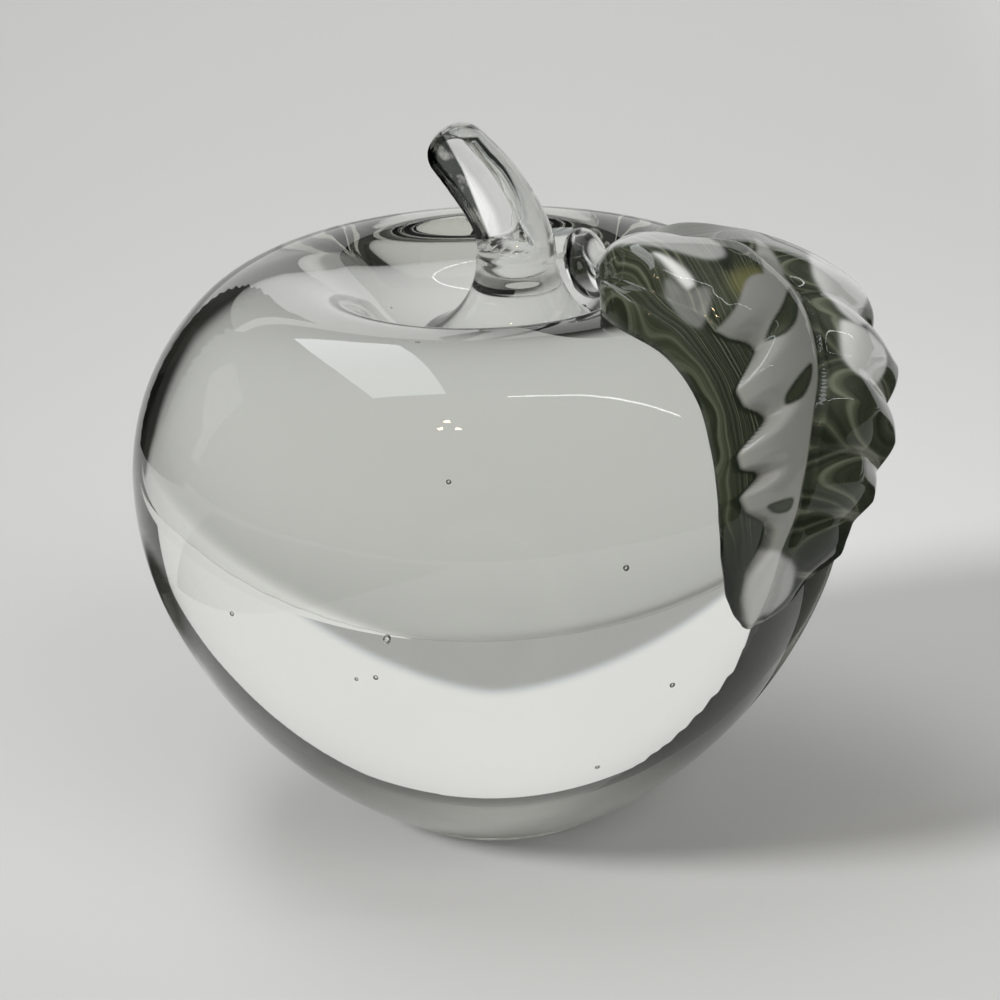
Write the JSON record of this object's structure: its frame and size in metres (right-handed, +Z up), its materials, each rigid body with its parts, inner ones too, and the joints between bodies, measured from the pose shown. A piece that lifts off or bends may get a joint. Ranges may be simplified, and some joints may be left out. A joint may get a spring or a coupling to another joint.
{
  "type": "art glass apple",
  "caption": "Solid clear art glass apple that stands on a flat base, with a bent, sheared stem and a crimped, green streaked glass leaf laid over its shoulder.",
  "frame": {"origin": "centre of the ground flat base, on the apple's own axis", "axes": "+Z up along the apple's axis, -X the way the stem bends, and the leaf lies over the shoulder towards +X and -Y"},
  "size_m": [0.1061, 0.1, 0.0996],
  "materials": {
    "clear_glass": "polished",
    "leaf_glass": "polished"
  },
  "bodies": {
    "root": {"apple_body": "clear_glass", "stem": "clear_glass", "leaf_stalk": "clear_glass", "leaf": "leaf_glass"}
  },
  "joints": []
}
